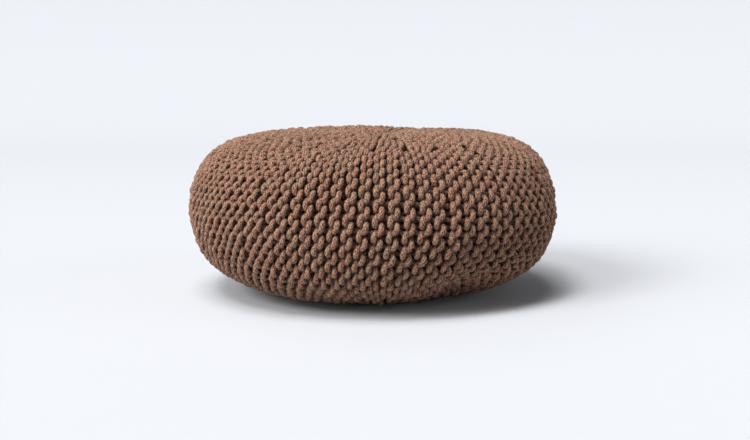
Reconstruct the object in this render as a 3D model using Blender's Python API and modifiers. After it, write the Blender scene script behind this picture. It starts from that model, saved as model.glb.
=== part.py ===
"""A low round knitted floor pouf, as one filled solid.

The cover is garter stitch knitted sideways in short rows and closed into a ring, so its ridges run
like meridians from the gathered centre of the top, over the side, to the foot. The solid has the
pouf's crown, its full side and its flat foot, with every ridge of the knit raised in its surface.
Metres, +Z up. The origin is on the floor below the middle of the pouf, and the front faces -Y.
"""

import math

import bpy
import numpy as np

NAME = "knitted_pouf"

# The whole pouf.
DIAMETER = 0.700
HEIGHT = 0.303
WIDEST_LEVEL = 0.157
FOOT_RADIUS = 0.157

# The section above and below the widest level: the two powers of a superellipse each. A larger first
# number makes the side steeper, and a larger second number makes the top or the foot flatter.
CROWN_POWERS = (5.2, 2.8)
BELLY_POWERS = (2.6, 3.1)

# The side is pushed out a little further at its widest level.
BULGE = 0.0085
BULGE_SPREAD = 0.050

# The knit: how many gores it has, how deep its valleys are, how far from the axis each ridge of a gore
# starts, and over what length a ridge rises from its start.
GORES = 14
RIDGE_DEPTH = 0.008
RIDGE_STARTS = (0.018, 0.150, 0.235, 0.065, 0.150, 0.235)
RIDGE_RISE = 0.028
RIDGES_PER_GORE = len(RIDGE_STARTS)

# The share of a full ridge's width that is kept for a ridge that hasn't started.
LEAST_SHARE = 0.04

# The gathered centre of the top, which sits a little to the right of the middle.
GATHER_SHIFT = 0.021
GATHER_DEPTH = 0.005
GATHER_RADIUS = 0.030
GATHER_FADE_RADIUS = 0.070

# The lumps fade out over this height above the floor, so that the foot stays flat.
LUMP_FADE_LEVEL = 0.030

# Where the filling pushes the cover out or lets it in: the direction around the pouf (0 is +X, 90 the
# back), the height of the middle of the place, how far it stands out, and the size of the place.
LUMP_COLUMNS = ("direction_deg", "level", "push", "spread")
LUMPS = (
    (305.0, 0.035, -0.0160, 0.085),
    (240.0, 0.040, 0.0040, 0.090),
    (180.0, 0.050, -0.0040, 0.070),
    (0.0, 0.170, -0.0045, 0.060),
    (0.0, 0.050, 0.0050, 0.045),
    (60.0, 0.290, -0.0055, 0.120),
)

# The mesh. On the top it has a ring at each distance from the axis where a ridge starts or ends its rise,
# and at these further ones. Underneath it has the same rings outside the foot, and the side between the
# outermost two is divided evenly.
COLUMNS_PER_RIDGE = 3
COLUMNS = GORES * RIDGES_PER_GORE * COLUMNS_PER_RIDGE
FURTHER_RINGS = (0.121, 0.206)
SIDE_BANDS = 12
SECTION_SAMPLES = 1200
AXIS_MERGE_DISTANCE = 0.00005

CORD_COLOUR = (0.235, 0.135, 0.085, 1.0)
CORD_ROUGHNESS = 0.90


def clear_scene():
    """Remove the objects that the file holds."""
    for old_object in list(bpy.data.objects):
        bpy.data.objects.remove(old_object, do_unlink=True)


def cord_material():
    """Return the material of the matt brown cotton cord."""
    material = bpy.data.materials.new("cotton_cord")
    material.use_nodes = True
    shader = material.node_tree.nodes["Principled BSDF"]
    shader.inputs["Base Color"].default_value = CORD_COLOUR
    shader.inputs["Roughness"].default_value = CORD_ROUGHNESS
    shader.inputs["Metallic"].default_value = 0.0
    return material


def smooth_step(value):
    """Return 0 below 0, 1 above 1 and an S-shaped rise between them."""
    clipped = np.clip(value, 0.0, 1.0)
    return clipped * clipped * (3.0 - 2.0 * clipped)


def quarter_section(width, height, powers):
    """Return radius and rise of a quarter superellipse, from its widest point to its pole."""
    turn = np.linspace(0.0, math.pi / 2.0, SECTION_SAMPLES)
    radius = width * np.abs(np.cos(turn)) ** (2.0 / powers[0])
    rise = height * np.abs(np.sin(turn)) ** (2.0 / powers[1])
    return radius, rise


def dense_section():
    """Return radius and height along the pouf's section, from the top's centre to the foot's rim."""
    width = DIAMETER / 2.0 - BULGE
    crown_radius, crown_rise = quarter_section(width, HEIGHT - WIDEST_LEVEL, CROWN_POWERS)
    foot_share = (FOOT_RADIUS / width) ** BELLY_POWERS[0]
    belly_depth = WIDEST_LEVEL / (1.0 - foot_share) ** (1.0 / BELLY_POWERS[1])
    belly_radius, belly_drop = quarter_section(width, belly_depth, BELLY_POWERS)
    above_floor = belly_drop < WIDEST_LEVEL
    radius = np.concatenate([crown_radius[::-1], belly_radius[above_floor][1:], [FOOT_RADIUS]])
    level = np.concatenate(
        [WIDEST_LEVEL + crown_rise[::-1], (WIDEST_LEVEL - belly_drop)[above_floor][1:], [0.0]]
    )
    radius[0] = 0.0
    side = smooth_step((radius - FOOT_RADIUS) / (width - FOOT_RADIUS))
    radius = radius + BULGE * side * np.exp(-(((level - WIDEST_LEVEL) / BULGE_SPREAD) ** 2))
    return radius, level


def ring_places(radius, travelled):
    """Return how far along the section each ring of the mesh lies."""
    starts = np.array(RIDGE_STARTS)
    rings = np.unique(np.concatenate([starts, starts + RIDGE_RISE, FURTHER_RINGS]))
    outside_foot = rings[rings > FOOT_RADIUS][::-1]
    widest = int(np.argmax(radius))
    on_top = np.interp(rings, radius[:widest], travelled[:widest])
    underneath = np.interp(outside_foot, radius[:widest:-1], travelled[:widest:-1])
    side = np.linspace(on_top[-1], underneath[0], SIDE_BANDS + 1)[1:-1]
    return np.concatenate([on_top, side, underneath, travelled[-1:]])


def section():
    """Return the section's points: the top's centre, the rings down to the foot's rim, its centre."""
    radius, level = dense_section()
    step = np.hypot(np.diff(radius), np.diff(level))
    travelled = np.concatenate([[0.0], np.cumsum(step)])
    places = ring_places(radius, travelled)
    rings = zip(np.interp(places, travelled, radius), np.interp(places, travelled, level))
    return [(0.0, 0.0, HEIGHT), *[(r, 0.0, z) for r, z in rings], (0.0, 0.0, 0.0)]


def turned_mesh():
    """Return the smooth pouf as a mesh: the section turned about +Z."""
    points = section()
    profile = bpy.data.meshes.new("section")
    profile.from_pydata(points, [(i, i + 1) for i in range(len(points) - 1)], [])
    turned = bpy.data.objects.new("section", profile)
    bpy.context.scene.collection.objects.link(turned)
    screw = turned.modifiers.new("turn", "SCREW")
    screw.axis = "Z"
    screw.steps = COLUMNS
    screw.render_steps = screw.steps
    screw.use_merge_vertices = True
    screw.merge_threshold = AXIS_MERGE_DISTANCE
    depsgraph = bpy.context.evaluated_depsgraph_get()
    mesh = bpy.data.meshes.new_from_object(turned.evaluated_get(depsgraph))
    bpy.data.objects.remove(turned, do_unlink=True)
    bpy.data.meshes.remove(profile)
    mesh.name = NAME
    return mesh


def lay_ridges(column, radius):
    """Return each point's direction around the pouf and its relief, 0 in a valley and 1 on a ridge.

    Each gore is a wedge of short rows. Its first ridge starts near the centre, and the others start
    further out, where each rises and takes its share of the gore. A ridge has a valley in its first
    column and is raised in the others.
    """
    starts = np.array(RIDGE_STARTS)
    risen = smooth_step((radius[None, :] - starts[:, None]) / RIDGE_RISE)
    risen[0] = 1.0
    share = np.maximum(risen, LEAST_SHARE)
    valley = np.vstack([np.zeros_like(radius), np.cumsum(share, axis=0) / share.sum(axis=0)])
    point = np.arange(len(column))
    ridge = column // COLUMNS_PER_RIDGE
    in_gore = ridge % RIDGES_PER_GORE
    across = (column % COLUMNS_PER_RIDGE) / COLUMNS_PER_RIDGE
    start = valley[in_gore, point]
    gore_place = start + across * (valley[in_gore + 1, point] - start)
    direction = 2.0 * math.pi / GORES * (ridge // RIDGES_PER_GORE + gore_place)
    relief = np.where(across > 0.0, risen[in_gore, point], 0.0)
    return direction, relief


def lump_push(direction, level):
    """Return how far the filling pushes the cover out at each point."""
    push = np.zeros_like(level)
    for row in LUMPS:
        lump = dict(zip(LUMP_COLUMNS, row))
        turn = direction - math.radians(lump["direction_deg"])
        around = DIAMETER / 2.0 * np.arctan2(np.sin(turn), np.cos(turn))
        away = np.hypot(around, level - lump["level"]) / lump["spread"]
        push += lump["push"] * np.exp(-(away**2))
    return push * smooth_step(level / LUMP_FADE_LEVEL)


def shape_knit(mesh):
    """Move the turned mesh's points onto the ridges, the gather and the uneven filling."""
    count = len(mesh.vertices)
    points = np.empty(count * 3)
    normals = np.empty(count * 3)
    mesh.vertices.foreach_get("co", points)
    mesh.vertex_normals.foreach_get("vector", normals)
    points = points.reshape(-1, 3)
    normals = normals.reshape(-1, 3)
    level = points[:, 2]
    radius = np.hypot(points[:, 0], points[:, 1])
    outward = np.hypot(normals[:, 0], normals[:, 1])
    turned_by = np.arctan2(points[:, 1], points[:, 0]) / (2.0 * math.pi)
    column = np.round(turned_by * COLUMNS).astype(int) % COLUMNS

    direction, relief = lay_ridges(column, radius)
    push = lump_push(direction, level) - RIDGE_DEPTH * (1.0 - relief)
    push *= smooth_step(radius / GATHER_FADE_RADIUS)
    on_crown = level > WIDEST_LEVEL
    inward = np.clip(1.0 - (2.0 * radius / DIAMETER) ** 2, 0.0, 1.0)
    shift = np.where(on_crown, GATHER_SHIFT * inward**2, 0.0)
    dip = np.where(on_crown, GATHER_DEPTH * np.exp(-((radius / GATHER_RADIUS) ** 2)), 0.0)

    shaped = np.empty_like(points)
    shaped[:, 0] = (radius + outward * push) * np.cos(direction) + shift
    shaped[:, 1] = (radius + outward * push) * np.sin(direction)
    shaped[:, 2] = level + normals[:, 2] * push - dip
    shaped[level < AXIS_MERGE_DISTANCE, 2] = 0.0
    shaped[:, :2] -= (shaped[:, :2].max(axis=0) + shaped[:, :2].min(axis=0)) / 2.0
    mesh.vertices.foreach_set("co", shaped.ravel())
    mesh.update()


def build_pouf():
    """Build the pouf in its own collection."""
    collection = bpy.data.collections.new(NAME)
    bpy.context.scene.collection.children.link(collection)
    mesh = turned_mesh()
    shape_knit(mesh)
    mesh.shade_smooth()
    mesh.materials.append(cord_material())
    collection.objects.link(bpy.data.objects.new(NAME, mesh))


clear_scene()
build_pouf()
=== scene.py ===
"""The looks of a low round knitted floor pouf, in thick braided cotton cord.

The cover is garter stitch, knitted sideways in wedges of short rows. Each ridge of the knit is two rows
of cord that loop through each other, and every loop is modelled at its real size around the filled form.
Metres, +Z up. The front of the pouf faces -Y.
"""

from __future__ import annotations

import logging
import math
from collections.abc import Mapping
from dataclasses import dataclass
from enum import Enum

import bpy
import numpy as np
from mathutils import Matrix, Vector
from numpy.typing import NDArray


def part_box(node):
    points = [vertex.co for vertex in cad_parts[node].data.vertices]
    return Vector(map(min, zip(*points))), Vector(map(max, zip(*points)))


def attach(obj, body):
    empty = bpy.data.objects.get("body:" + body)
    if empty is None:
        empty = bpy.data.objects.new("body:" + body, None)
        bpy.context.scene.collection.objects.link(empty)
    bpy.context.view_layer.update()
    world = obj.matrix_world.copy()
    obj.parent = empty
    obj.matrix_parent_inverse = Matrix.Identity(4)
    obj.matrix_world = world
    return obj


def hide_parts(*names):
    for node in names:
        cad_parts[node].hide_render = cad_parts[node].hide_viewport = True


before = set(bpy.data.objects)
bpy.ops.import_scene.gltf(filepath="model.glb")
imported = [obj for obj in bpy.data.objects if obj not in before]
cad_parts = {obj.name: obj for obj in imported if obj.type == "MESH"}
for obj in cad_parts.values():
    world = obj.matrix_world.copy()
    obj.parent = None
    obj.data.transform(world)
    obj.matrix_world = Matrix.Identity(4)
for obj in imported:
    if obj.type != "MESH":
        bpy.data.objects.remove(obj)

NODE = "knitted_pouf"
BODY = "root"

FloatArray = NDArray[np.float64]
IntArray = NDArray[np.int64]

log = logging.getLogger("pouf")


def smooth_step(value: FloatArray) -> FloatArray:
    """Return 0 below 0, 1 above 1, and 3x^2 - 2x^3 between them."""
    clipped = np.clip(value, 0.0, 1.0)
    return clipped * clipped * (3.0 - 2.0 * clipped)


def unit(vectors: FloatArray) -> FloatArray:
    """Return the vectors, one in each row, divided by their lengths."""
    return vectors / np.linalg.norm(vectors, axis=-1, keepdims=True)


def linear_colour(srgb_hex: str) -> tuple[float, float, float, float]:
    """Turn an sRGB hex colour into linear light, by the sRGB standard's own curve.

    Args:
        srgb_hex: Six hex digits after a #.

    Returns:
        Linear red, green and blue with an alpha of 1.
    """
    parts = [int(srgb_hex[i : i + 2], 16) / 255.0 for i in (1, 3, 5)]
    red, green, blue = [p / 12.92 if p <= 0.04045 else ((p + 0.055) / 1.055) ** 2.4 for p in parts]
    return red, green, blue, 1.0


def add_node(
    tree: bpy.types.NodeTree,
    kind: str,
    settings: Mapping[str, object] | None = None,
    inputs: Mapping[int | str, object] | None = None,
) -> bpy.types.Node:
    """Add a shader node.

    Args:
        tree: The material's node tree.
        kind: The node's type name.
        settings: Properties of the node by name.
        inputs: For each input, the socket that feeds it or its value.

    Returns:
        The new node.
    """
    node = tree.nodes.new(kind)
    for name, value in (settings or {}).items():
        setattr(node, name, value)
    for key, value in (inputs or {}).items():
        if isinstance(value, bpy.types.NodeSocket):
            tree.links.new(value, node.inputs[key])
        else:
            node.inputs[key].default_value = value
    return node


@dataclass(frozen=True)
class BraidedCotton:
    """Matt cotton cord braided over a soft core.

    The braid's strands cross in small diamonds. Their colour is painted paler on the strands' tops, a
    painted highlight, and darker in the grooves between them, a painted shade, and fine noise scatters the
    same paler and darker colours as specks of painted highlight and painted shade. The cotton is dull,
    with hardly any gloss and only a trace of sheen from its fuzz, and the dye takes a little unevenly,
    redder here and greyer there, in patches about as long as a stitch. Real fibres are far thinner than a
    pixel, so the specks are drawn 3 mm coarse.
    """

    # The strands' tops: the cord's own brown, painted paler as a highlight.
    crown_and_highlight_hex: str = "#A98672"
    # The grooves between the strands: painted shade.
    groove_shade_hex: str = "#381206"
    red_hex: str = "#935E47"
    grey_hex: str = "#7F6A4E"
    strands_round: int = 6
    strand_length: float = 0.0055
    strand_fullness: float = 0.7
    braid_depth: float = 0.0009
    braid_bump: float = 0.9
    dye_patch: float = 0.032
    dye_detail: float = 2.0
    dye_limits: tuple[float, float] = (0.36, 0.64)
    dye_share: float = 0.42
    fibre_size: float = 0.0030
    fibre_detail: float = 1.0
    # How far the fibre noise swings the colour towards the painted highlight and the painted shade.
    fibre_contrast: float = 2.4
    fibre_offset: float = -1.10
    roughness: float = 0.88
    ior: float = 1.46
    specular: float = 0.15
    sheen: float = 0.05
    sheen_roughness: float = 0.6

    def material(self) -> bpy.types.Material:
        """Make the material: a diamond braid in the cord's own UV map, with dye and fibre noise.

        The braid's height plus the fibres' noise gives both the bump and the share of the crowns' colour,
        the cord's own brown painted paler as a highlight, over that of the grooves, a painted shade. The
        dye tints the crowns from grey to red.

        Returns:
            The material.
        """
        material = bpy.data.materials.new("braided_cotton_cord")
        material.use_nodes = True
        tree = material.node_tree
        shader = tree.nodes["Principled BSDF"]
        along = add_node(tree, "ShaderNodeUVMap", {"uv_map": "cord"})
        parts = add_node(tree, "ShaderNodeSeparateXYZ", inputs={0: along.outputs[0]})
        height = self._braid(tree, parts.outputs[0], parts.outputs[1])
        place = add_node(tree, "ShaderNodeTexCoord").outputs["Object"]
        dye = add_node(
            tree,
            "ShaderNodeTexNoise",
            inputs={"Vector": place, "Scale": 1.0 / self.dye_patch, "Detail": self.dye_detail},
        )
        fibre = add_node(
            tree,
            "ShaderNodeTexNoise",
            inputs={"Vector": place, "Scale": 1.0 / self.fibre_size, "Detail": self.fibre_detail},
        )
        greyest, reddest = self.dye_limits
        hue = add_node(tree, "ShaderNodeMapRange", inputs={0: dye.outputs["Fac"], 1: greyest, 2: reddest})
        tint = add_node(
            tree,
            "ShaderNodeMix",
            {"data_type": "RGBA"},
            {0: hue.outputs[0], 6: linear_colour(self.grey_hex), 7: linear_colour(self.red_hex)},
        )
        # The strands' tops: the dyed cord's colour, painted paler as a highlight.
        crown_and_highlight = add_node(
            tree,
            "ShaderNodeMix",
            {"data_type": "RGBA"},
            {0: self.dye_share, 6: linear_colour(self.crown_and_highlight_hex), 7: tint.outputs[2]},
        )
        # Fibre noise: specks of painted highlight and painted shade, and fine bumps.
        painted_speck = add_node(
            tree,
            "ShaderNodeMath",
            {"operation": "MULTIPLY_ADD"},
            {0: fibre.outputs["Fac"], 1: self.fibre_contrast, 2: self.fibre_offset},
        )
        # The share of the painted highlight over the painted shade, and also the bump's height.
        share = add_node(
            tree,
            "ShaderNodeMath",
            {"operation": "ADD", "use_clamp": True},
            {0: height, 1: painted_speck.outputs[0]},
        )
        # The base colour: painted highlight on the braid's tops and painted shade in its grooves.
        colour = add_node(
            tree,
            "ShaderNodeMix",
            {"data_type": "RGBA"},
            {0: share.outputs[0], 6: linear_colour(self.groove_shade_hex), 7: crown_and_highlight.outputs[2]},
        )
        bump = add_node(
            tree,
            "ShaderNodeBump",
            inputs={
                "Strength": self.braid_bump,
                "Distance": self.braid_depth,
                "Height": share.outputs[0],
            },
        )
        tree.links.new(colour.outputs[2], shader.inputs["Base Color"])
        tree.links.new(bump.outputs[0], shader.inputs["Normal"])
        shader.inputs["Roughness"].default_value = self.roughness
        shader.inputs["IOR"].default_value = self.ior
        shader.inputs["Specular IOR Level"].default_value = self.specular
        shader.inputs["Sheen Weight"].default_value = self.sheen
        shader.inputs["Sheen Roughness"].default_value = self.sheen_roughness
        return material

    def _braid(
        self, tree: bpy.types.NodeTree, turn: bpy.types.NodeSocket, length: bpy.types.NodeSocket
    ) -> bpy.types.NodeSocket:
        """Add the braid's height.

        Two sets of strands wind opposite ways, so the height is the product of |sin| of the turn plus the
        length and |sin| of the turn minus the length, each counted in strands. A power below 1 makes the
        strands fuller.

        Args:
            tree: The material's node tree.
            turn: The place round the cord, 0 to 1.
            length: The place along the cord in metres.

        Returns:
            The socket of the height, 0 to 1.
        """
        waves = []
        half_turns = add_node(
            tree, "ShaderNodeMath", {"operation": "MULTIPLY"}, {0: turn, 1: math.pi * self.strands_round}
        )
        for sense in (1.0, -1.0):
            phase = add_node(
                tree,
                "ShaderNodeMath",
                {"operation": "MULTIPLY_ADD"},
                {0: length, 1: sense * math.pi / self.strand_length, 2: half_turns.outputs[0]},
            )
            sine = add_node(tree, "ShaderNodeMath", {"operation": "SINE"}, {0: phase.outputs[0]})
            waves.append(
                add_node(tree, "ShaderNodeMath", {"operation": "ABSOLUTE"}, {0: sine.outputs[0]}).outputs[0]
            )
        product = add_node(tree, "ShaderNodeMath", {"operation": "MULTIPLY"}, {0: waves[0], 1: waves[1]})
        return add_node(
            tree, "ShaderNodeMath", {"operation": "POWER"}, {0: product.outputs[0], 1: self.strand_fullness}
        ).outputs[0]


@dataclass(frozen=True)
class DarkCalico:
    """Closely woven dark brown cotton cloth, dull and dark, of the bag that holds the filling.

    Its threads lie about 0.4 mm apart, which is too fine to show, so they are drawn 1.2 mm coarse.
    """

    colour_hex: str = "#26150E"
    thread_spacing: float = 0.0012
    thread_depth: float = 0.0003
    thread_bump: float = 0.4
    roughness: float = 0.95

    def material(self) -> bpy.types.Material:
        """Make the material: a plain colour with the fine bump of woven threads.

        Returns:
            The material.
        """
        material = bpy.data.materials.new("dark_calico")
        material.use_nodes = True
        tree = material.node_tree
        shader = tree.nodes["Principled BSDF"]
        place = add_node(tree, "ShaderNodeTexCoord").outputs["Object"]
        weave = add_node(
            tree, "ShaderNodeTexNoise", inputs={"Vector": place, "Scale": 1.0 / self.thread_spacing}
        )
        bump = add_node(
            tree,
            "ShaderNodeBump",
            inputs={
                "Strength": self.thread_bump,
                "Distance": self.thread_depth,
                "Height": weave.outputs["Fac"],
            },
        )
        tree.links.new(bump.outputs[0], shader.inputs["Normal"])
        shader.inputs["Base Color"].default_value = linear_colour(self.colour_hex)
        shader.inputs["Roughness"].default_value = self.roughness
        return material


@dataclass(frozen=True)
class PaleCard:
    """Smooth matt studio card, light and faintly blue, of the floor and the wall behind.

    The strong light makes it look nearly white. The card is graduated: it is printed a little darker from
    under the pouf to high on the wall, which evens out the low light that falls more squarely on the wall
    than on the floor. The shade's start and end are distances behind the pouf.
    """

    floor_hex: str = "#B9BBBF"
    wall_hex: str = "#AAACB0"
    shade_start: float = 0.0
    shade_end: float = 4.8
    roughness: float = 0.9
    specular: float = 0.1

    def material(self) -> bpy.types.Material:
        """Make the material: a light colour that darkens with the distance behind the pouf.

        Returns:
            The material.
        """
        material = bpy.data.materials.new("pale_card")
        material.use_nodes = True
        tree = material.node_tree
        shader = tree.nodes["Principled BSDF"]
        place = add_node(tree, "ShaderNodeTexCoord").outputs["Object"]
        parts = add_node(tree, "ShaderNodeSeparateXYZ", inputs={0: place})
        share = add_node(
            tree, "ShaderNodeMapRange", inputs={0: parts.outputs[1], 1: self.shade_start, 2: self.shade_end}
        )
        colour = add_node(
            tree,
            "ShaderNodeMix",
            {"data_type": "RGBA"},
            {0: share.outputs[0], 6: linear_colour(self.floor_hex), 7: linear_colour(self.wall_hex)},
        )
        tree.links.new(colour.outputs[2], shader.inputs["Base Color"])
        shader.inputs["Roughness"].default_value = self.roughness
        shader.inputs["Specular IOR Level"].default_value = self.specular
        return material


@dataclass(frozen=True)
class Surface:
    """A mesh as arrays: its points, the faces' corners and how many each face has, and the corners' UVs."""

    points: FloatArray
    corners: IntArray
    sizes: IntArray
    uvs: FloatArray

    @staticmethod
    def joined(surfaces: list[Surface]) -> Surface:
        """Return the surfaces as one, their corners counted on from each other."""
        firsts = np.cumsum([0] + [len(s.points) for s in surfaces[:-1]])
        return Surface(
            np.concatenate([s.points for s in surfaces]),
            np.concatenate([s.corners + first for s, first in zip(surfaces, firsts)]),
            np.concatenate([s.sizes for s in surfaces]),
            np.concatenate([s.uvs for s in surfaces]),
        )

    def add_to_scene(self, name: str, material: bpy.types.Material) -> bpy.types.Object:
        """Make the mesh object.

        Args:
            name: The object's name.
            material: The finish of the whole mesh.

        Returns:
            The object, at the origin.
        """
        mesh = bpy.data.meshes.new(name)
        mesh.vertices.add(len(self.points))
        mesh.vertices.foreach_set("co", self.points.astype(np.float32).ravel())
        mesh.loops.add(len(self.corners))
        mesh.loops.foreach_set("vertex_index", self.corners.astype(np.int32))
        mesh.polygons.add(len(self.sizes))
        starts = np.concatenate([[0], np.cumsum(self.sizes)[:-1]])
        mesh.polygons.foreach_set("loop_start", starts.astype(np.int32))
        mesh.uv_layers.new(name="cord").uv.foreach_set("vector", self.uvs.astype(np.float32).ravel())
        mesh.update(calc_edges=True)
        mesh.validate()
        mesh.shade_smooth()
        mesh.materials.append(material)
        piece = bpy.data.objects.new(name, mesh)
        bpy.context.scene.collection.objects.link(piece)
        return piece


def tube(
    path: FloatArray, upright: FloatArray, radius: FloatArray, flatness: float, sides: int
) -> Surface:
    """Carry an oval section along a path.

    At each point the section's plane is square to the path, and its first spoke is the upright vector
    less its part along the path. A point is the path's point plus radius times the spoke at its angle,
    shortened by the flatness along the first spoke and lengthened by it square to that.

    Args:
        path: Points of the centre line, one in each row.
        upright: A vector at each point that is nowhere along the path.
        radius: The section's mean radius at each point.
        flatness: How much wider and thinner than a circle the section is, as a share of its radius.
        sides: How many sides the section has.

    Returns:
        The closed tube, with UVs of the turn (0 to 1) and the length along it in metres.
    """
    count = len(path)
    heading = unit(np.gradient(path, axis=0))
    spoke = unit(upright - (upright * heading).sum(axis=1, keepdims=True) * heading)
    across = np.cross(heading, spoke)
    turn = np.arange(sides) / sides * math.tau
    outward = (1.0 - flatness) * np.cos(turn)
    sideways = (1.0 + flatness) * np.sin(turn)
    ring = spoke[:, None] * outward[None, :, None] + across[:, None] * sideways[None, :, None]
    points = (path[:, None] + radius[:, None, None] * ring).reshape(-1, 3)

    length = np.concatenate([[0.0], np.cumsum(np.linalg.norm(np.diff(path, axis=0), axis=1))])
    row, side = np.meshgrid(np.arange(count - 1), np.arange(sides), indexing="ij")
    corner_row = np.stack([row, row, row + 1, row + 1], axis=-1)
    corner_side = np.stack([side, side + 1, side + 1, side], axis=-1)
    quads = (corner_row * sides + corner_side % sides).reshape(-1)
    quad_uvs = np.stack([corner_side / sides, length[corner_row]], axis=-1).reshape(-1, 2)
    first_cap = np.arange(sides)[::-1]
    last_cap = (count - 1) * sides + np.arange(sides)
    cap_uvs = np.stack([np.arange(sides) / sides, np.zeros(sides)], axis=-1)
    return Surface(
        points,
        np.concatenate([quads, first_cap, last_cap]),
        np.concatenate([np.full((count - 1) * sides, 4), [sides, sides]]),
        np.concatenate([quad_uvs, cap_uvs, cap_uvs]),
    )


@dataclass(frozen=True)
class Lump:
    """A place where the filling pushes the cover out, or lets it in where the push is below 0."""

    direction_deg: float
    level: float
    push: float
    spread: float


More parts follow.
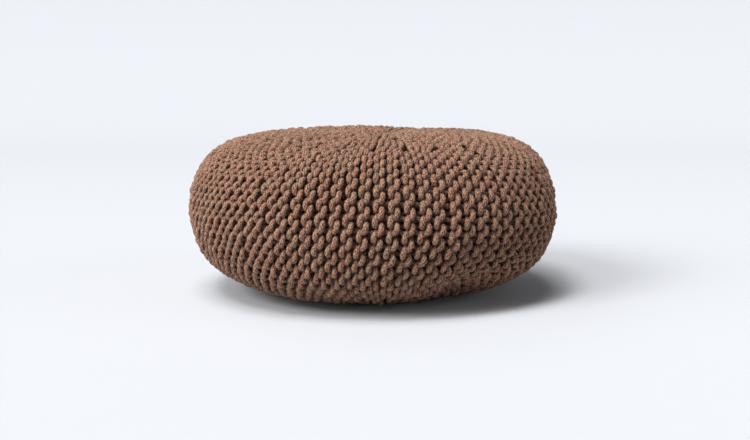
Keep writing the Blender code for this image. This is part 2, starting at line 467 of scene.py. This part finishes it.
@dataclass
class PoufForm:
    """The filled pouf's smooth outer form, over the tops of the ridges."""

    diameter: float = 0.700
    height: float = 0.303
    widest_level: float = 0.157
    foot_radius: float = 0.157
    crown_powers: tuple[float, float] = (5.2, 2.8)
    belly_powers: tuple[float, float] = (2.6, 3.1)
    bulge: float = 0.0085
    bulge_spread: float = 0.050
    gather_shift: float = 0.021
    gather_depth: float = 0.005
    gather_radius: float = 0.030
    gather_fade_radius: float = 0.070
    lump_fade_level: float = 0.030
    lumps: tuple[Lump, ...] = (
        Lump(305.0, 0.035, -0.0160, 0.085),
        Lump(240.0, 0.040, 0.0040, 0.090),
        Lump(180.0, 0.050, -0.0040, 0.070),
        Lump(0.0, 0.170, -0.0045, 0.060),
        Lump(0.0, 0.050, 0.0050, 0.045),
        Lump(60.0, 0.290, -0.0055, 0.120),
    )
    samples: int = 1200
    foot_samples: int = 300
    normal_reach: int = 25
    outline_step: int = 8
    outline_columns: int = 181

    def __post_init__(self) -> None:
        """Work out the section and set the form in the middle of the frame's box."""
        self.centre = np.zeros(2)
        self.radius, self.level = self._section()
        steps = np.hypot(np.diff(self.radius), np.diff(self.level))
        travelled = np.concatenate([[0.0], np.cumsum(steps)])
        self.travelled = np.linspace(0.0, travelled[-1], self.samples)
        self.radius = np.interp(self.travelled, travelled, self.radius)
        self.level = np.interp(self.travelled, travelled, self.level)
        self.outward, self.upward = self._normals()
        low, high = (np.array(corner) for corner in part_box(NODE))
        along, direction = np.meshgrid(
            self.travelled[:: self.outline_step], np.linspace(0.0, math.tau, self.outline_columns)
        )
        points = self.place(along.ravel(), direction.ravel(), np.zeros(along.size))
        middle = (points.max(axis=0) + points.min(axis=0))[:2] / 2.0
        self.centre = middle - (low + high)[:2] / 2.0

    def _section(self) -> tuple[FloatArray, FloatArray]:
        """Work out the section from the top's centre down the side and along the foot.

        Above and below the widest level the section is a quarter superellipse,
        (r / width)^a + (rise / height)^b = 1, and the side bulges by a bell curve about that level. The
        lower one is cut off by the floor, where the foot is flat.

        Returns:
            The radius and the height of its points.
        """
        turn = np.linspace(0.0, math.pi / 2.0, self.samples)
        cosine, sine = np.abs(np.cos(turn)), np.abs(np.sin(turn))
        width = self.diameter / 2.0 - self.bulge
        steep, flat = self.crown_powers
        crown_radius = (width * cosine ** (2.0 / steep))[::-1]
        crown_level = self.widest_level + ((self.height - self.widest_level) * sine ** (2.0 / flat))[::-1]
        steep, flat = self.belly_powers
        depth = self.widest_level / (1.0 - (self.foot_radius / width) ** steep) ** (1.0 / flat)
        belly_level = self.widest_level - depth * sine ** (2.0 / flat)
        above_floor = belly_level > 0.0
        belly_radius = (width * cosine ** (2.0 / steep))[above_floor]
        foot_radius = np.linspace(self.foot_radius, 0.0, self.foot_samples)
        radius = np.concatenate([crown_radius, belly_radius[1:], foot_radius])
        level = np.concatenate([crown_level, belly_level[above_floor][1:], np.zeros_like(foot_radius)])
        radius[0] = 0.0
        side = smooth_step((radius - self.foot_radius) / (width - self.foot_radius))
        bell = np.exp(-(((level - self.widest_level) / self.bulge_spread) ** 2))
        return radius + self.bulge * side * bell, level

    def _normals(self) -> tuple[FloatArray, FloatArray]:
        """Work out the section's outward normals.

        Each is the mean of those within reach on both sides, so that the cord bends round corners.

        Returns:
            The normals' parts outwards and upwards.
        """
        normals = np.stack([-np.gradient(self.level), np.gradient(self.radius)], axis=-1)
        window = np.ones(2 * self.normal_reach + 1)
        padded = np.pad(unit(normals), ((self.normal_reach, self.normal_reach), (0, 0)), mode="edge")
        smoothed = unit(np.stack([np.convolve(column, window, "valid") for column in padded.T], axis=-1))
        return smoothed[:, 0], smoothed[:, 1]

    def lump_push(self, direction: FloatArray, level: FloatArray) -> FloatArray:
        """Work out how far the filling pushes the cover out.

        Each lump adds push * exp(-(distance from its middle / spread)^2), and all fade out at the floor.

        Args:
            direction: Angle about +Z, 0 towards +X.
            level: Height above the floor.

        Returns:
            The push in metres.
        """
        push = np.zeros_like(level)
        for lump in self.lumps:
            turn = direction - math.radians(lump.direction_deg)
            around = self.diameter / 2.0 * np.arctan2(np.sin(turn), np.cos(turn))
            away = np.hypot(around, level - lump.level) / lump.spread
            push += lump.push * np.exp(-(away**2))
        return push * smooth_step(level / self.lump_fade_level)

    def place(self, along: FloatArray, direction: FloatArray, rise: FloatArray) -> FloatArray:
        """Return points of the form.

        A point is the section's point at a distance along it, moved out along the section's normal by its
        rise and the push of the lumps, and turned about +Z to its direction. On the top, it is carried
        towards +X by the gather's shift times (1 - (radius / outer radius)^2)^2, and let down by a bell
        curve about the gather.

        Args:
            along: Distance along the section from the top's centre, in metres.
            direction: Angle about +Z, 0 towards +X and growing towards +Y.
            rise: Distance out from the form along its normal.

        Returns:
            The points, one in each row.
        """
        radius = np.interp(along, self.travelled, self.radius)
        level = np.interp(along, self.travelled, self.level)
        outward = np.interp(along, self.travelled, self.outward)
        upward = np.interp(along, self.travelled, self.upward)
        push = self.lump_push(direction, level) * smooth_step(radius / self.gather_fade_radius) + rise
        on_crown = level > self.widest_level
        inward = np.clip(1.0 - (2.0 * radius / self.diameter) ** 2, 0.0, 1.0)
        shift = np.where(on_crown, self.gather_shift * inward**2, 0.0)
        dip = np.where(on_crown, self.gather_depth * np.exp(-((radius / self.gather_radius) ** 2)), 0.0)
        reach = radius + outward * push
        return np.stack(
            [
                reach * np.cos(direction) + shift - self.centre[0],
                reach * np.sin(direction) - self.centre[1],
                level + upward * push - dip,
            ],
            axis=-1,
        )


class RowKind(Enum):
    """Which loops of a row lie in front of the knit. The value is the sign of the phase's cosine there."""

    FEET_IN_FRONT = 1.0
    HEADS_IN_FRONT = -1.0


@dataclass(frozen=True)
class Loop:
    """The shape of a loop where it lies in front of the knit.

    The bow spreads the loop's two legs, the lean tilts it, and the reach is how far past the middle of its
    ridge it lies.
    """

    bow: float
    lean: float
    reach: float


@dataclass(frozen=True)
class StitchLength:
    """How long a stitch is at a distance along the section from the top's centre."""

    along: float
    length: float


@dataclass
class GarterCover:
    """The knitted cover: wedges of short rows in garter stitch, two rows to a ridge.

    Lengths are in metres, and along is the distance down the section from the top's centre. The ridges of
    a gore start at radii of their own, and each rises to its full share of the width within the ridge
    rise. The stitches are counted from the anchor, each of its local length. Tilt and drop say how far
    the rounds of stitches sag, stretch and squeeze how the cover is pulled round the form, and the opening
    where its ridges part, low on the front. The strays say how much hand-knitted loops differ, one
    standard deviation each: in metres for the ridge and the row, and as a share of its size for the rest.
    """

    form: PoufForm
    gores: int = 14
    ridge_starts: tuple[float, ...] = (0.018, 0.150, 0.235, 0.065, 0.150, 0.235)
    ridge_rise: float = 0.028
    least_share: float = 0.04
    gather_starts: tuple[float, float] = (0.010, 0.026)
    start_delay: float = 0.45
    end_delay: float = 0.10
    cord_diameter: float = 0.0092
    cord_flatness: float = 0.08
    full_ridge: float = 0.0257
    full_stitch: float = 0.0268
    head: Loop = Loop(bow=0.0060, lean=-0.28, reach=0.0048)
    foot: Loop = Loop(bow=0.0058, lean=0.12, reach=0.0055)
    loop_depth: float = 0.0165
    front_power: float = 2.0
    back_power: float = 0.8
    squeeze_limits: tuple[float, float] = (0.45, 1.25)
    stitch_lengths: tuple[StitchLength, ...] = (
        StitchLength(0.000, 0.0225),
        StitchLength(0.295, 0.0230),
        StitchLength(0.560, 0.0325),
        StitchLength(0.640, 0.0280),
    )
    anchor_along: float = 0.4135
    row_tilt: float = 0.0102
    row_drop: float = 0.0216
    row_fade: float = 0.250
    side_stretch: float = 0.11
    front_squeeze: float = 0.02
    opening_direction_deg: float = -55.0
    opening_along: float = 0.530
    opening_amount: float = 0.13
    opening_width: float = 0.42
    opening_reach: float = 0.090
    end_dive: float = 0.012
    end_length: float = 0.022
    ridge_stray_across: float = 0.0008
    ridge_stray_out: float = 0.0010
    row_stray_along: float = 0.0007
    reach_stray: float = 0.07
    depth_stray: float = 0.05
    cord_stray: float = 0.03
    stray_stitches: int = 48
    seed: int = 11
    steps_per_stitch: int = 18
    step_crowding: float = 0.35
    sides: int = 7

    def __post_init__(self) -> None:
        """Count the stitches along the section, the integral of 1 / length, from the anchor."""
        places = [row.along for row in self.stitch_lengths]
        lengths = [row.length for row in self.stitch_lengths]
        self.local_length = np.interp(self.form.travelled, places, lengths)
        between = (1.0 / self.local_length[1:] + 1.0 / self.local_length[:-1]) / 2.0
        self.counted = np.concatenate([[0.0], np.cumsum(between * np.diff(self.form.travelled))])
        self.counted -= np.interp(self.anchor_along, self.form.travelled, self.counted)

    def build(self, finish: BraidedCotton) -> list[bpy.types.Object]:
        """Build the cover.

        Args:
            finish: The cord's finish.

        Returns:
            One piece for each gore.
        """
        material = finish.material()
        chance = np.random.default_rng(self.seed)
        pieces = []
        for gore in range(self.gores):
            rows = []
            for ridge in range(len(self.ridge_starts)):
                # The ridge's third set is spare. It is drawn so that the draws after it stay the same.
                wander = chance.normal(size=(3, self.stray_stitches))
                for kind in RowKind:
                    differences = chance.normal(size=(4, self.stray_stitches))
                    rows.append(self._row(gore, ridge, kind, wander, differences))
            piece = Surface.joined(rows).add_to_scene(f"knit_gore_{gore + 1:02d}", material)
            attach(piece, BODY)
            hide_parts(NODE)
            log.info("%s: %d rows, %d faces", piece.name, len(rows), len(piece.data.polygons))
            pieces.append(piece)
        return pieces

    def _stretched(self, direction: FloatArray, along: FloatArray) -> tuple[FloatArray, FloatArray]:
        """Return directions moved to where the cover is pulled, and by how much it stretches there.

        With a the angle from the front, the stretch is 1 + side * sin 2a - front * cos a, and the movement
        is its integral. About the opening low on the front, a hyperbolic tangent is added, less an even
        share of it, which fades as a bell curve up and down the side.

        Args:
            direction: Angle about +Z of the even layout.
            along: Distance along the section from the top's centre.

        Returns:
            The moved directions, and the local stretch.
        """
        turn = direction + math.pi / 2.0
        moved = self.side_stretch * np.sin(turn) ** 2 - self.front_squeeze * np.sin(turn)
        stretch = 1.0 + self.side_stretch * np.sin(2.0 * turn) - self.front_squeeze * np.cos(turn)
        amount = self.opening_amount * np.exp(-(((along - self.opening_along) / self.opening_reach) ** 2))
        middle = math.radians(self.opening_direction_deg)
        away = np.arctan2(np.sin(direction - middle), np.cos(direction - middle))
        scaled = away / self.opening_width
        even = self.opening_width / math.pi
        moved += amount * (self.opening_width * np.tanh(scaled) - even * away)
        stretch += amount * (1.0 / np.cosh(scaled) ** 2 - even)
        return direction + moved, stretch

    def _row_shift(self, direction: FloatArray, along: FloatArray) -> FloatArray:
        """Return how far down a round of stitches lies: tilt * cos + drop * cos^2 of its direction."""
        shift = self.row_tilt * np.cos(direction) + self.row_drop * np.cos(direction) ** 2
        return shift * smooth_step(along / self.row_fade)

    def _ridge(self, gore: int, ridge: int, along: FloatArray) -> tuple[FloatArray, FloatArray]:
        """Return the direction of a ridge's middle and the ridge's width.

        Each ridge of a gore takes its share of the gore's width as it rises from its own start.

        Args:
            gore: The gore's number.
            ridge: The ridge's number in the gore.
            along: Distance along the section from the top's centre.

        Returns:
            The direction and the width in metres, at each distance.
        """
        radius = np.interp(along, self.form.travelled, self.form.radius)
        starts = np.array(self.ridge_starts)
        risen = smooth_step((radius[None, :] - starts[:, None]) / self.ridge_rise)
        risen[0] = 1.0
        share = np.maximum(risen, self.least_share)
        edges = np.vstack([np.zeros_like(radius), np.cumsum(share, axis=0) / share.sum(axis=0)])
        gore_turn = math.tau / self.gores
        middle = gore_turn * (gore + (edges[ridge] + edges[ridge + 1]) / 2.0)
        direction, stretch = self._stretched(middle, along)
        return direction, radius * gore_turn * (edges[ridge + 1] - edges[ridge]) * stretch

    def _row_ends(self, gore: int, ridge: int) -> tuple[float, float]:
        """Return the stitch numbers between which a ridge's rows lie.

        A ridge's rows start a little after the ridge does, where there is room for them. Underneath, where
        they lie closer, they end nearer to it. Those that reach the gathers end at two distances in turn,
        because all of them wouldn't fit side by side there.

        Args:
            gore: The gore's number.
            ridge: The ridge's number in the gore.

        Returns:
            The first and the last stitch number, counted from the anchor.
        """
        start_radius = self.ridge_starts[ridge] + self.start_delay * self.ridge_rise
        end_radius = self.ridge_starts[ridge] + self.end_delay * self.ridge_rise
        if ridge == 0:
            start_radius = end_radius = self.gather_starts[gore % 2]
        widest = int(np.argmax(self.form.radius))
        radius, travelled = self.form.radius, self.form.travelled
        start = np.interp(start_radius, radius[:widest], travelled[:widest])
        end = np.interp(end_radius, radius[:widest:-1], travelled[:widest:-1])
        ends = np.array([start, end])
        middle, _ = self._ridge(gore, ridge, ends)
        first, last = np.interp(ends - self._row_shift(middle, ends), travelled, self.counted)
        return float(first), float(last)

    def _row(self, gore: int, ridge: int, kind: RowKind, wander: FloatArray, chance: FloatArray) -> Surface:
        """Return one row of loops as a tube.

        With t the phase, one turn for each stitch, the cord's distance along the ridge is
        stitch * t / turn + bow * sin 2t, and its distance across is a quarter of the ridge's width less
        (that quarter + reach) * (cos t + lean * sin t). It stands depth * cos t out from the middle of the
        knit's thickness. That cosine is raised to one power in front, which narrows the loops' crests, and
        to another behind, which keeps the strands there deep in the furrows. The reach follows the ridge's
        width, and the square of how much longer or shorter than a full stitch the local one is, so that
        the loops cover the furrows there. The other kind of row is its mirror image, with loops of its
        own shape. The path's points crowd together where the cord is in front, because it shows there.

        Args:
            gore: The gore's number.
            ridge: The ridge's number in the gore.
            kind: Which loops lie in front.
            wander: Random numbers shared by the ridge's two rows, for how the ridge strays.
            chance: Random numbers of this row, for how its loops differ.

        Returns:
            The row's tube.
        """
        sign = kind.value
        loop = self.head if kind is RowKind.HEADS_IN_FRONT else self.foot
        first, last = self._row_ends(gore, ridge)
        even = np.linspace(first, last, int(round((last - first) * self.steps_per_stitch)) + 1)
        phase = math.tau * even - sign * self.step_crowding * np.sin(math.tau * even)
        stitches = phase / math.tau

        def strays(numbers: FloatArray) -> FloatArray:
            """Return random numbers, one for each stitch, joined by straight lines."""
            return np.interp(stitches - first, np.arange(len(numbers)), numbers)

        ridge_along = np.interp(stitches, self.counted, self.form.travelled)
        middle, _ = self._ridge(gore, ridge, ridge_along)
        lengthened = np.interp(ridge_along, self.form.travelled, self.local_length) / self.full_stitch
        bow = loop.bow * np.sin(2.0 * phase)
        sag = self._row_shift(middle, ridge_along)
        along = ridge_along + sag + bow + self.row_stray_along * strays(chance[0])
        direction, width = self._ridge(gore, ridge, along)
        squeeze = np.clip(width / self.full_ridge, *self.squeeze_limits)
        quarter = width / 4.0
        spread = np.maximum(lengthened, 1.0 / lengthened) ** 2
        reach = loop.reach * spread * squeeze * (1.0 + self.reach_stray * strays(chance[1]))
        swing = np.cos(phase) + loop.lean * np.sin(phase)
        stray_across = self.ridge_stray_across * strays(wander[0])
        across = sign * quarter - (quarter + reach) * swing + stray_across
        front = sign * np.cos(phase)
        stand = np.where(
            front > 0.0, np.abs(front) ** self.front_power, -(np.abs(front) ** self.back_power)
        )
        depth = self.loop_depth * (1.0 + self.depth_stray * strays(chance[2]))
        from_end = np.minimum(ridge_along - ridge_along[0], ridge_along[-1] - ridge_along)
        dive = self.end_dive * (1.0 - smooth_step(from_end / self.end_length))
        cord_radius = self.cord_diameter / 2.0 * (1.0 + self.cord_stray * strays(chance[3]))
        stray_out = self.ridge_stray_out * strays(wander[1])
        middle_rise = -(self.loop_depth + self.cord_diameter / 2.0) + stray_out
        rise = middle_rise + depth * stand - dive

        radius = np.maximum(np.interp(along, self.form.travelled, self.form.radius), self.cord_diameter)
        turned = direction + across / radius
        path = self.form.place(along, turned, rise)
        path[:, 2] = np.maximum(path[:, 2], cord_radius)
        outward = self.form.place(along, turned, rise + self.cord_diameter) - path
        return tube(path, outward, cord_radius, self.cord_flatness, self.sides)


@dataclass
class FillingBag:
    """The dark bag of filling inside the cover, which shows only through the gaps of the knit."""

    form: PoufForm
    inset: float = 0.0300
    cap_reach: float = 0.012
    rings: int = 48
    columns: int = 96

    def build(self, finish: DarkCalico) -> bpy.types.Object:
        """Build the bag: the pouf's form, set in by the thickness of the knit.

        A flat face closes it at the top's centre and one at the foot's, each as far out as the cap's reach.

        Args:
            finish: The cloth's finish.

        Returns:
            The bag, a closed piece.
        """
        ends = (self.cap_reach, self.form.travelled[-1] - self.cap_reach)
        along, turn = np.meshgrid(
            np.linspace(*ends, self.rings), np.arange(self.columns) / self.columns, indexing="ij"
        )
        inset = np.full(along.size, -self.inset)
        points = self.form.place(along.ravel(), math.tau * turn.ravel(), inset)
        row, column = np.meshgrid(np.arange(self.rings - 1), np.arange(self.columns), indexing="ij")
        corner_row = np.stack([row, row + 1, row + 1, row], axis=-1)
        corner_column = np.stack([column, column, column + 1, column + 1], axis=-1)
        quads = (corner_row * self.columns + corner_column % self.columns).reshape(-1)
        top = np.arange(self.columns)
        foot = ((self.rings - 1) * self.columns + np.arange(self.columns))[::-1]
        corners = np.concatenate([quads, top, foot])
        sizes = np.concatenate([np.full(row.size, 4), [self.columns, self.columns]])
        uvs = np.zeros((len(corners), 2))
        bag = Surface(points, corners, sizes, uvs).add_to_scene("filling_bag", finish.material())
        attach(bag, BODY)
        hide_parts(NODE)
        log.info("%s: %d faces", bag.name, len(bag.data.polygons))
        return bag


@dataclass(frozen=True)
class FarSoftbox:
    """A wide soft light, so far away that it lights the whole floor evenly.

    Its rays are parallel, so the distance is only where it stands in the scene.
    """

    name: str
    direction_deg: float
    elevation_deg: float
    spread_deg: float
    strength: float
    distance: float = 5.0

    def add(self) -> None:
        """Add the light, facing the pouf."""
        data = bpy.data.lights.new(self.name, "SUN")
        data.angle = math.radians(self.spread_deg)
        data.energy = self.strength
        light = bpy.data.objects.new(self.name, data)
        turn, lift = math.radians(self.direction_deg), math.radians(self.elevation_deg)
        away = Vector((math.cos(turn) * math.cos(lift), math.sin(turn) * math.cos(lift), math.sin(lift)))
        light.location = away * self.distance
        light.rotation_euler = (-away).to_track_quat("-Z", "Y").to_euler()
        bpy.context.scene.collection.objects.link(light)


@dataclass
class Studio:
    """The pale floor and wall, the soft lights and the camera.

    The camera looks at the target level above the floor, a little to the side of the pouf's middle. Its
    focal length is counted in pixels of an image of the width given.
    """

    camera_distance: float = 2.422
    camera_elevation_deg: float = 8.0
    camera_side: float = 0.0059
    target_level: float = 0.1302
    focal_pixels: float = 1264.4
    image_width: int = 750
    sensor_width: float = 36.0
    floor_half: float = 6.0
    wall_distance: float = 6.0
    wall_height: float = 3.2
    wall_bend: float = 3.0
    bend_points: int = 17
    daylight_hex: str = "#F2F6FF"
    daylight_strength: float = 0.12
    softboxes: tuple[FarSoftbox, ...] = (
        FarSoftbox("window_light", 219.0, 35.0, 24.0, 2.45),
        FarSoftbox("front_light", 232.0, 60.0, 16.0, 1.75),
        FarSoftbox("overhead_light", 235.0, 78.0, 24.0, 1.70),
        FarSoftbox("low_light", 214.0, 5.0, 50.0, 1.30),
        FarSoftbox("left_light", 190.0, 28.0, 40.0, 0.65),
        FarSoftbox("right_light", 350.0, 8.0, 50.0, 1.10),
        FarSoftbox("back_light", 120.0, 45.0, 28.0, 0.30),
    )

    def build(self, finish: PaleCard) -> None:
        """Build the floor and wall, the lights and the camera.

        Args:
            finish: The finish of the floor and wall.
        """
        self._add_sweep(finish)
        for softbox in self.softboxes:
            softbox.add()
        world = bpy.data.worlds.new("soft_daylight")
        world.use_nodes = True
        background = world.node_tree.nodes["Background"]
        background.inputs["Color"].default_value = linear_colour(self.daylight_hex)
        background.inputs["Strength"].default_value = self.daylight_strength
        bpy.context.scene.world = world
        bpy.context.scene.view_settings.view_transform = "Standard"
        self._add_camera()

    def _add_sweep(self, finish: PaleCard) -> None:
        """Add the floor, which bends up into the wall behind in a quarter circle.

        Args:
            finish: The finish of the floor and wall.
        """
        turn = np.linspace(0.0, math.pi / 2.0, self.bend_points)
        bend_start = self.wall_distance - self.wall_bend
        bend_depth = bend_start + self.wall_bend * np.sin(turn)
        bend_level = self.wall_bend * (1.0 - np.cos(turn))
        depth = np.concatenate([[-self.floor_half], bend_depth, [self.wall_distance]])
        level = np.concatenate([[0.0], bend_level, [self.wall_height]])
        count = len(depth)
        side = np.array([-self.floor_half, self.floor_half])
        points = np.stack([np.repeat(side, count), np.tile(depth, 2), np.tile(level, 2)], axis=-1)
        first = np.arange(count - 1)
        corners = np.stack([first, first + count, first + count + 1, first + 1], axis=-1).reshape(-1)
        surface = Surface(points, corners, np.full(count - 1, 4), np.zeros((len(corners), 2)))
        sweep = surface.add_to_scene("floor_and_wall", finish.material())
        log.info("%s: %d faces", sweep.name, len(sweep.data.polygons))

    def _add_camera(self) -> None:
        """Add the camera at the photograph's angle, in front of the pouf and a little above it."""
        data = bpy.data.cameras.new("camera")
        data.sensor_width = self.sensor_width
        data.lens = self.focal_pixels / self.image_width * self.sensor_width
        camera = bpy.data.objects.new("camera", data)
        lift = math.radians(self.camera_elevation_deg)
        camera.location = (
            self.camera_side,
            -self.camera_distance * math.cos(lift),
            self.target_level + self.camera_distance * math.sin(lift),
        )
        camera.rotation_euler = (math.pi / 2.0 - lift, 0.0, 0.0)
        bpy.context.scene.collection.objects.link(camera)
        bpy.context.scene.camera = camera


def main() -> None:
    """Build the pouf's bag and cover and the studio round them."""
    logging.basicConfig(level=logging.INFO, format="%(name)s: %(message)s")
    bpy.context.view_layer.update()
    form = PoufForm()
    FillingBag(form).build(DarkCalico())
    GarterCover(form).build(BraidedCotton())
    Studio().build(PaleCard())


if __name__ == "__main__":
    main()
